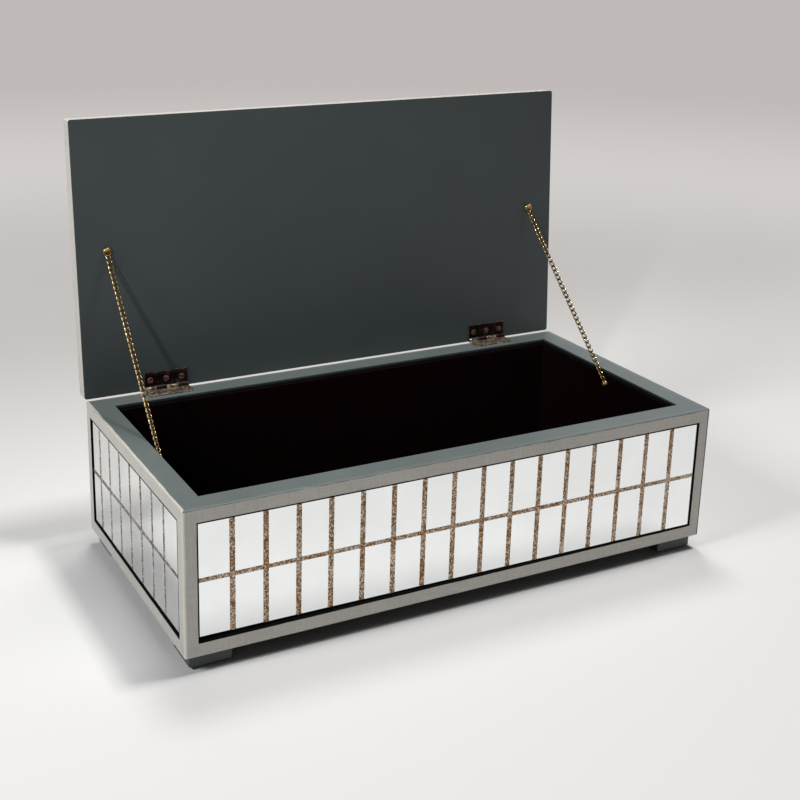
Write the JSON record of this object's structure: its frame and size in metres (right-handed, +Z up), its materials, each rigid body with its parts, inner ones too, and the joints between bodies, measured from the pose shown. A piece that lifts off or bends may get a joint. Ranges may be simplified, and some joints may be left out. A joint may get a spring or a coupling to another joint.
{
  "type": "vanity trinket box",
  "caption": "Mirror-tiled trinket box with a hinged lid held open by stop chains, standing on block feet.",
  "frame": {"origin": "middle of the open box's footprint, on the surface it stands on", "axes": "+Z up, +Y from the front to the hinged back, +X to the right seen from the front"},
  "size_m": [0.3048, 0.1716, 0.2358],
  "materials": {
    "painted_board": "satin paint",
    "linen_facing": "fine woven texture, satin",
    "mirror": "polished",
    "glitter": "glittered",
    "lining": "flocked",
    "base_board": "plain",
    "foot_paint": "satin paint",
    "aged_bronze": "antiqued",
    "screw_brass": "worn",
    "chain_brass": "polished"
  },
  "bodies": {
    "box": {"back_frame": "linen_facing", "back_glitter_strips": "glitter", "back_left_foot": "foot_paint", "back_lining": "lining", "back_mirror_tiles": "mirror", "back_right_foot": "foot_paint", "back_wall": "painted_board", "base_panel": "base_board", "floor_lining": "lining", "front_frame": "linen_facing", "front_glitter_strips": "glitter", "front_left_foot": "foot_paint", "front_lining": "lining", "front_mirror_tiles": "mirror", "front_right_foot": "foot_paint", "front_wall": "painted_board", "left_chain_box_screw": "screw_brass", "left_frame": "linen_facing", "left_glitter_strips": "glitter", "left_hinge_box_leaf": "aged_bronze", "left_hinge_box_screws": "screw_brass", "left_hinge_pin": "aged_bronze", "left_lining": "lining", "left_mirror_tiles": "mirror", "left_wall": "painted_board", "right_chain_box_screw": "screw_brass", "right_frame": "linen_facing", "right_glitter_strips": "glitter", "right_hinge_box_leaf": "aged_bronze", "right_hinge_box_screws": "screw_brass", "right_hinge_pin": "aged_bronze", "right_lining": "lining", "right_mirror_tiles": "mirror", "right_wall": "painted_board"},
    "lid": {"left_chain_lid_ring": "chain_brass", "left_chain_lid_screw": "screw_brass", "left_hinge_lid_leaf": "aged_bronze", "left_hinge_lid_screws": "screw_brass", "lid_frame": "linen_facing", "lid_glitter_strips": "glitter", "lid_mirror_tiles": "mirror", "lid_panel": "painted_board", "right_chain_lid_ring": "chain_brass", "right_chain_lid_screw": "screw_brass", "right_hinge_lid_leaf": "aged_bronze", "right_hinge_lid_screws": "screw_brass"},
    "left_chain_upper": {"left_chain_upper": "chain_brass"},
    "left_chain_turn": {"left_chain_turn": "chain_brass"},
    "left_chain_lower": {"left_chain_lower": "chain_brass"},
    "right_chain_upper": {"right_chain_upper": "chain_brass"},
    "right_chain_turn": {"right_chain_turn": "chain_brass"},
    "right_chain_lower": {"right_chain_lower": "chain_brass"}
  },
  "joints": [
    {"name": "lid_hinge", "type": "hinge", "parent": "box", "child": "lid", "pos_m": [0, 0.06535, 0.085], "axis": [1, 0, 0], "range_deg": [0, 94.55], "deforming": ["left_chain_upper", "left_chain_turn", "left_chain_lower", "right_chain_upper", "right_chain_turn", "right_chain_lower"]},
    {"name": "left_chain_upper_swing", "type": "hinge", "parent": "lid", "child": "left_chain_upper", "pos_m": [-0.1355, 0.07008, 0.16278], "axis": [1, 0, 0], "range_deg": [0, 23.79]},
    {"name": "left_chain_turn_swing", "type": "hinge", "parent": "left_chain_upper", "child": "left_chain_turn", "pos_m": [-0.13627, 0.02926, 0.12112], "axis": [1, 0, 0], "range_deg": [-90.25, 0]},
    {"name": "left_chain_lower_swing", "type": "hinge", "parent": "box", "child": "left_chain_lower", "pos_m": [-0.1371, -0.01435, 0.0766], "axis": [1, 0, 0], "range_deg": [-60.26, 0]},
    {"name": "right_chain_upper_swing", "type": "hinge", "parent": "lid", "child": "right_chain_upper", "pos_m": [0.1355, 0.07008, 0.16278], "axis": [1, 0, 0], "range_deg": [0, 23.79]},
    {"name": "right_chain_turn_swing", "type": "hinge", "parent": "right_chain_upper", "child": "right_chain_turn", "pos_m": [0.13627, 0.02926, 0.12112], "axis": [1, 0, 0], "range_deg": [-90.25, 0]},
    {"name": "right_chain_lower_swing", "type": "hinge", "parent": "box", "child": "right_chain_lower", "pos_m": [0.1371, -0.01435, 0.0766], "axis": [1, 0, 0], "range_deg": [-60.26, 0]}
  ],
  "couplings": [
    {"joint": "left_chain_upper_swing", "follows": "lid_hinge", "ratio": 0.24668},
    {"joint": "left_chain_turn_swing", "follows": "lid_hinge", "ratio": -0.93576},
    {"joint": "left_chain_lower_swing", "follows": "lid_hinge", "ratio": -0.62484},
    {"joint": "right_chain_upper_swing", "follows": "lid_hinge", "ratio": 0.24668},
    {"joint": "right_chain_turn_swing", "follows": "lid_hinge", "ratio": -0.93576},
    {"joint": "right_chain_lower_swing", "follows": "lid_hinge", "ratio": -0.62484}
  ]
}
